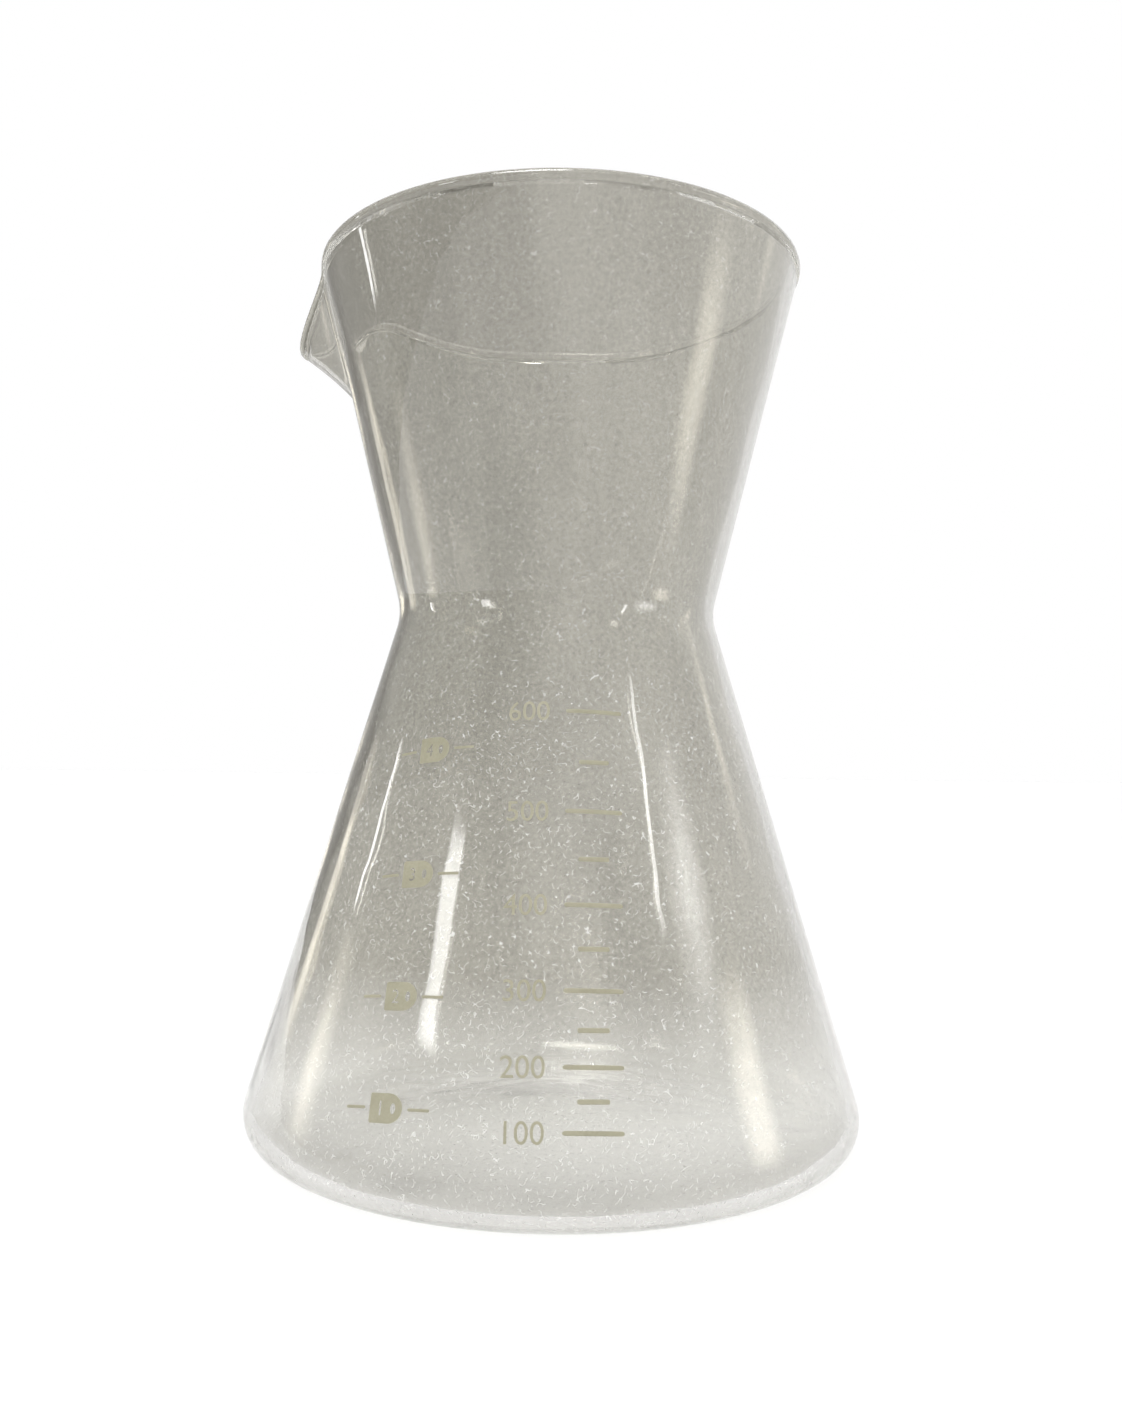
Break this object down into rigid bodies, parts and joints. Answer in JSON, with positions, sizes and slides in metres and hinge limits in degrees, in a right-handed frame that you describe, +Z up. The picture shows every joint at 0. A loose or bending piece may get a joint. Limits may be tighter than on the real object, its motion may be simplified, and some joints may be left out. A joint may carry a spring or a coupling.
{
  "type": "decanter",
  "caption": "Hourglass glass decanter: a flask with a creased waist under a built-in pour-over funnel, with a drawn pouring lip, pushed-up base and printed measuring scale.",
  "frame": {"origin": "centre of the foot ring, on the table, on the vessel's axis", "axes": "+Z up the axis to the rim; -Y towards the measuring scale; the pouring lip points to -X, turned 14 degrees towards +Y"},
  "size_m": [0.1246, 0.1246, 0.18],
  "materials": {
    "glass": "clear blown borosilicate glass, fire-polished",
    "enamel": "thin beige enamel print, fired on, satin"
  },
  "bodies": {
    "root": {"glass_body": "glass", "scale_line_100": "enamel", "scale_line_150": "enamel", "scale_line_200": "enamel", "scale_line_250": "enamel", "scale_line_300": "enamel", "scale_line_350": "enamel", "scale_line_400": "enamel", "scale_line_450": "enamel", "scale_line_500": "enamel", "scale_line_550": "enamel", "scale_line_600": "enamel", "cup_mark_1": "enamel", "cup_mark_2": "enamel", "cup_mark_3": "enamel", "cup_mark_4": "enamel", "cup_line_1_left": "enamel", "cup_line_1_right": "enamel", "cup_line_2_left": "enamel", "cup_line_2_right": "enamel", "cup_line_3_left": "enamel", "cup_line_3_right": "enamel", "cup_line_4_left": "enamel", "cup_line_4_right": "enamel"}
  },
  "joints": []
}
